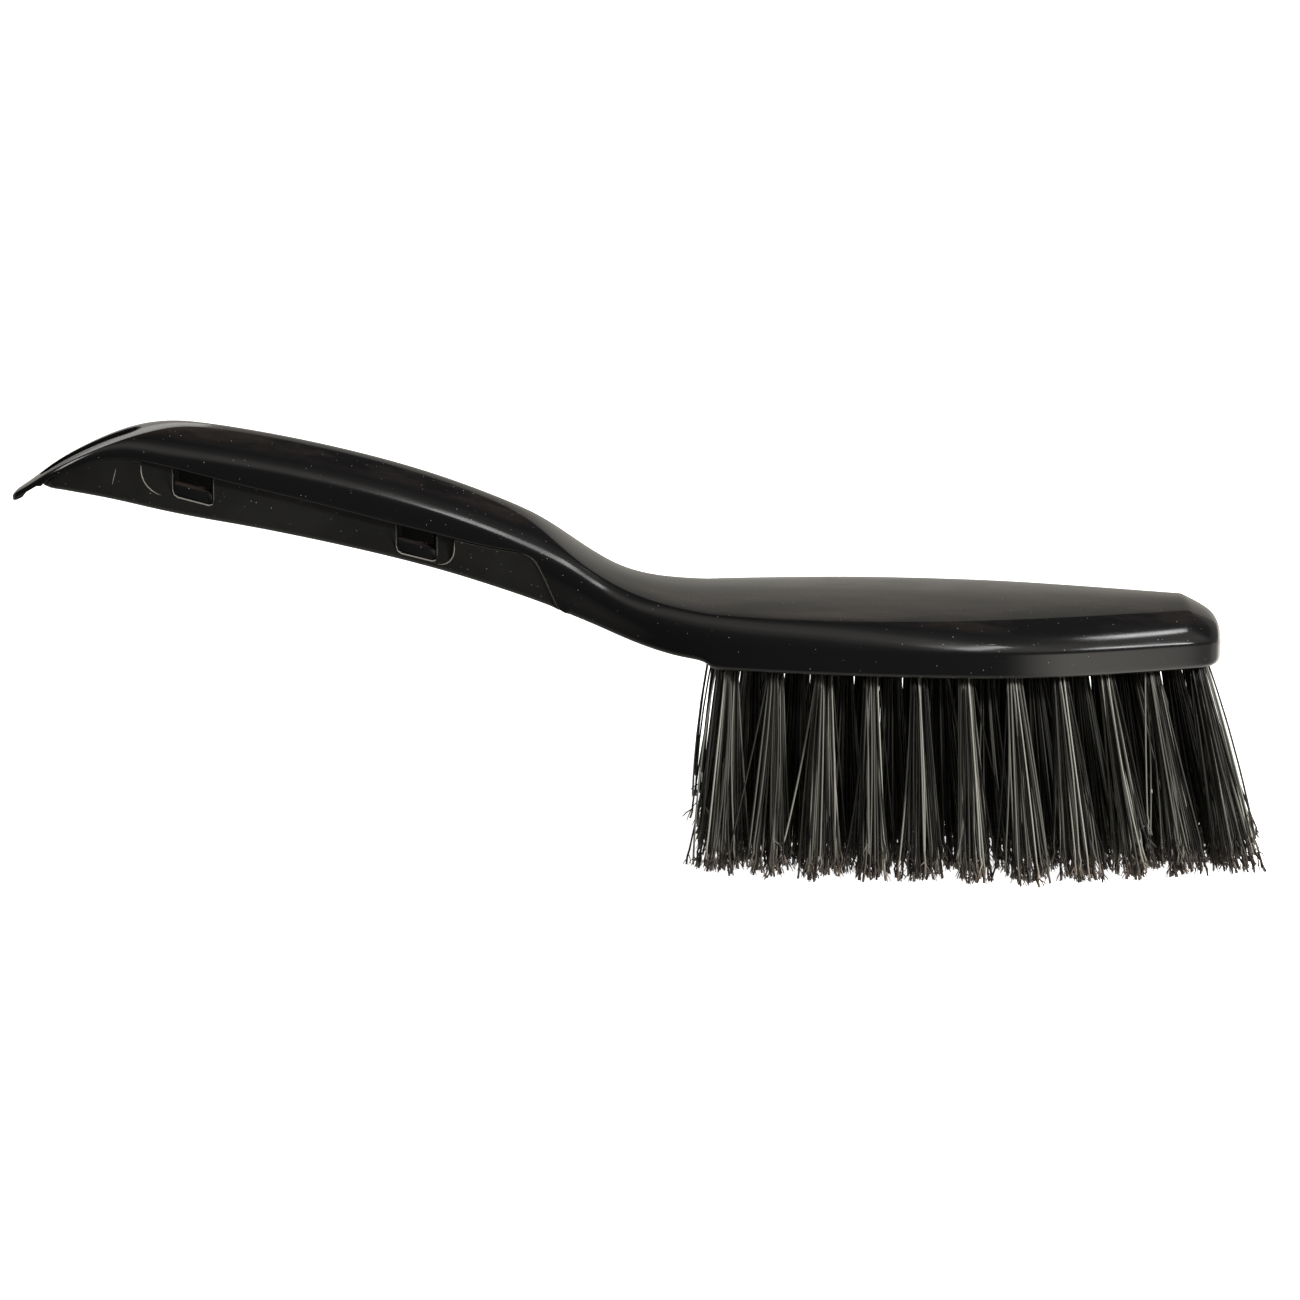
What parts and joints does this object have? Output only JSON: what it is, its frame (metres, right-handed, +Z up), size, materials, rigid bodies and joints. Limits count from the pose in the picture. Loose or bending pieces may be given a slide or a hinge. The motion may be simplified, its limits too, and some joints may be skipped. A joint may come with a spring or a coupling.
{
  "type": "wheel brush",
  "caption": "Black moulded hand wheel brush with a raised grip, a hanging slot and bristle tufts that fan out towards the nose, for scrubbing car wheels.",
  "frame": {"origin": "middle of the overall box on the plane of the bristle tips", "axes": "+X towards the nose of the head, away from the grip; +Z up, away from the bristles; the X-Z plane is the plane of symmetry"},
  "size_m": [0.2998, 0.066, 0.1041],
  "materials": {
    "block_plastic": "moulded, satin gloss",
    "insert_plastic": "moulded, dull satin",
    "staple_steel": "plain drawn wire",
    "bristle_filament": "extruded filament with flagged tips"
  },
  "bodies": {
    "root": {"handle_block": "block_plastic", "grip_insert": "insert_plastic", "anchor_staples": "staple_steel", "tuft_01": "bristle_filament", "tuft_02": "bristle_filament", "tuft_03": "bristle_filament", "tuft_04": "bristle_filament", "tuft_05": "bristle_filament", "tuft_06": "bristle_filament", "tuft_07": "bristle_filament", "tuft_08": "bristle_filament", "tuft_09": "bristle_filament", "tuft_10": "bristle_filament", "tuft_11": "bristle_filament", "tuft_12": "bristle_filament", "tuft_13": "bristle_filament", "tuft_14": "bristle_filament", "tuft_15": "bristle_filament", "tuft_16": "bristle_filament", "tuft_17": "bristle_filament", "tuft_18": "bristle_filament", "tuft_19": "bristle_filament", "tuft_20": "bristle_filament", "tuft_21": "bristle_filament", "tuft_22": "bristle_filament", "tuft_23": "bristle_filament", "tuft_24": "bristle_filament", "tuft_25": "bristle_filament", "tuft_26": "bristle_filament", "tuft_27": "bristle_filament", "tuft_28": "bristle_filament", "tuft_29": "bristle_filament", "tuft_30": "bristle_filament", "tuft_31": "bristle_filament", "tuft_32": "bristle_filament", "tuft_33": "bristle_filament", "tuft_34": "bristle_filament", "tuft_35": "bristle_filament", "tuft_36": "bristle_filament", "tuft_37": "bristle_filament", "tuft_38": "bristle_filament", "tuft_39": "bristle_filament", "tuft_40": "bristle_filament", "tuft_41": "bristle_filament", "tuft_42": "bristle_filament", "tuft_43": "bristle_filament", "tuft_44": "bristle_filament", "tuft_45": "bristle_filament", "tuft_46": "bristle_filament", "tuft_47": "bristle_filament", "tuft_48": "bristle_filament", "tuft_49": "bristle_filament", "tuft_50": "bristle_filament", "tuft_51": "bristle_filament", "tuft_52": "bristle_filament", "tuft_53": "bristle_filament"}
  },
  "joints": []
}
